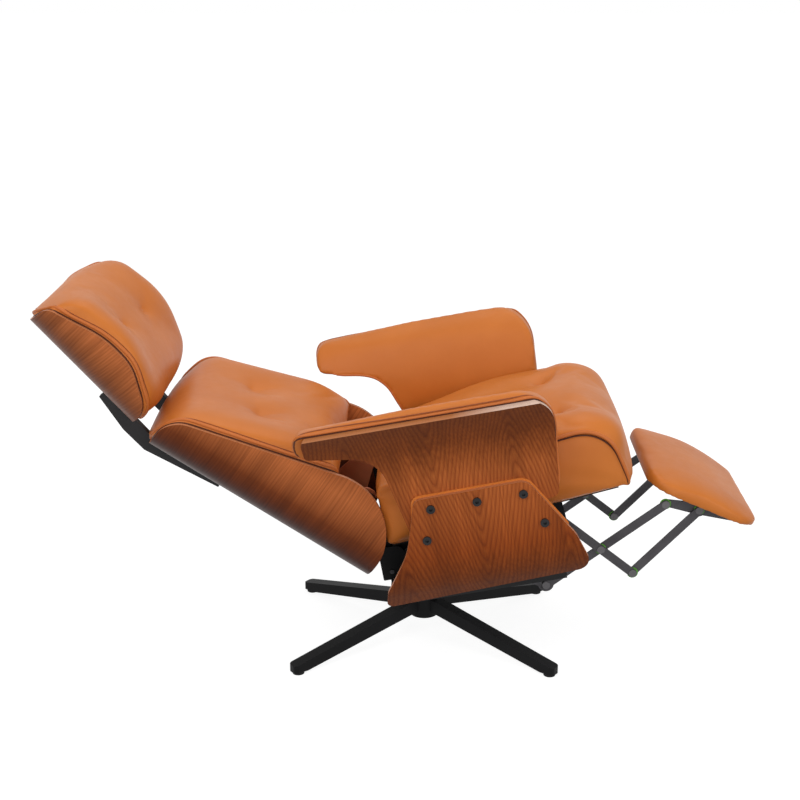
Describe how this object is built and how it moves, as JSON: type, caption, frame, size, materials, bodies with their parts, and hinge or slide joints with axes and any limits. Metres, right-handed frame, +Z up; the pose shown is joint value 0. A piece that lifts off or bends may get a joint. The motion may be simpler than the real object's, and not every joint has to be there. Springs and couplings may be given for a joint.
{
  "type": "recliner armchair",
  "caption": "Reclining swivel lounge chair with bent-plywood shells, upholstered cushions, padded arms, a fold-out footrest on scissor links and a star base.",
  "frame": {"origin": "on the floor under the swivel axis", "axes": "+X forward, the way the sitter faces; +Y to the sitter's left; +Z up"},
  "size_m": [1.5382, 0.732, 0.8398],
  "materials": {
    "leather": "satin",
    "walnut_ply": "satin",
    "frame_board": "matte",
    "black_metal": "satin",
    "dark_steel": "satin",
    "green_nylon": "matte",
    "glide_plastic": "matte"
  },
  "bodies": {
    "base": {"base_hub": "black_metal", "base_leg_front_left": "black_metal", "base_leg_rear_left": "black_metal", "base_leg_rear_right": "black_metal", "base_leg_front_right": "black_metal", "floor_glides": "glide_plastic", "thrust_washer": "green_nylon"},
    "chassis": {"swivel_post": "black_metal", "swivel_saddle": "black_metal", "cross_beam_rear": "black_metal", "cross_beam_front": "black_metal", "side_rail_right": "black_metal", "side_rail_left": "black_metal", "mechanism_plate_right": "black_metal", "mechanism_plate_left": "black_metal", "lower_panel_right": "walnut_ply", "lower_panel_left": "walnut_ply", "panel_trim_right": "leather", "panel_trim_left": "leather", "arm_panel_right": "walnut_ply", "arm_panel_left": "walnut_ply", "arm_pad_right": "leather", "arm_pad_left": "leather", "panel_bolts": "black_metal"},
    "front_swing": {"front_swing_link_right": "dark_steel", "front_swing_link_left": "dark_steel"},
    "rear_swing": {"rear_swing_link_right": "dark_steel", "rear_swing_link_left": "dark_steel"},
    "seat": {"seat_deck": "frame_board", "seat_cushion": "leather", "hinge_pins": "black_metal", "seat_bracket_right": "black_metal", "seat_bracket_left": "black_metal"},
    "back": {"back_shell": "walnut_ply", "back_cushion": "leather", "head_shell": "walnut_ply", "head_cushion": "leather", "spine_bar_right": "black_metal", "spine_bar_left": "black_metal", "back_bracket_right": "black_metal", "back_bracket_left": "black_metal"},
    "lift": {"lift_link_right": "dark_steel", "lift_link_left": "dark_steel", "lift_rivets": "dark_steel", "lift_washers": "green_nylon"},
    "cross": {"cross_link_right": "dark_steel", "cross_link_left": "dark_steel", "cross_rivets": "dark_steel", "cross_washers": "green_nylon"},
    "carry": {"carry_link_right": "dark_steel", "carry_link_left": "dark_steel", "carry_rivets": "dark_steel", "carry_washers": "green_nylon"},
    "crank": {"crank_shaft": "dark_steel"},
    "footrest": {"footrest_bracket_right": "dark_steel", "footrest_bracket_left": "dark_steel", "footrest_board": "frame_board", "footrest_pad": "leather"}
  },
  "joints": [
    {"name": "swivel", "type": "hinge", "parent": "base", "child": "chassis", "pos_m": [0, 0, 0.1], "axis": [0, 0, 1], "continuous": true},
    {"name": "front_swing_pivot", "type": "hinge", "parent": "chassis", "child": "front_swing", "pos_m": [0.12555, 0, 0.26682], "axis": [0, 1, 0], "range_deg": [-40.01, 0]},
    {"name": "seat_pivot", "type": "hinge", "parent": "front_swing", "child": "seat", "pos_m": [0.15223, 0, 0.34012], "axis": [0, 1, 0], "range_deg": [0, 46.01]},
    {"name": "rear_swing_pivot", "type": "hinge", "parent": "chassis", "child": "rear_swing", "pos_m": [-0.0695, 0, 0.232], "axis": [0, 1, 0], "range_deg": [-43.01, 0]},
    {"name": "recline", "type": "hinge", "parent": "seat", "child": "back", "pos_m": [-0.12158, 0, 0.39164], "axis": [0, 1, 0], "range_deg": [0, 33]},
    {"name": "lift_pivot", "type": "hinge", "parent": "seat", "child": "lift", "pos_m": [0.28697, 0, 0.35275], "axis": [0, 1, 0], "range_deg": [0, 58.49]},
    {"name": "scissor_pivot", "type": "hinge", "parent": "lift", "child": "cross", "pos_m": [0.382, 0, 0.279], "axis": [0, 1, 0], "range_deg": [-72.48, 0]},
    {"name": "carry_pivot", "type": "hinge", "parent": "lift", "child": "carry", "pos_m": [0.453, 0, 0.2239], "axis": [0, 1, 0], "range_deg": [-60.39, 0]},
    {"name": "footrest_pivot", "type": "hinge", "parent": "cross", "child": "footrest", "pos_m": [0.5171, 0, 0.3819], "axis": [0, 1, 0], "range_deg": [0, 81.4]},
    {"name": "crank_pivot", "type": "hinge", "parent": "seat", "child": "crank", "pos_m": [0.164, 0, 0.2272], "axis": [0, 1, 0], "range_deg": [0, 60.58]}
  ],
  "couplings": [
    {"joint": "front_swing_pivot", "follows": "recline", "ratio": -1.2121},
    {"joint": "seat_pivot", "follows": "recline", "ratio": 1.3939},
    {"joint": "rear_swing_pivot", "follows": "recline", "ratio": -1.3029},
    {"joint": "lift_pivot", "follows": "recline", "ratio": 1.7722},
    {"joint": "scissor_pivot", "follows": "recline", "ratio": -2.1961},
    {"joint": "carry_pivot", "follows": "recline", "ratio": -1.8296},
    {"joint": "footrest_pivot", "follows": "recline", "ratio": 2.4663},
    {"joint": "crank_pivot", "follows": "recline", "ratio": 1.8355}
  ]
}
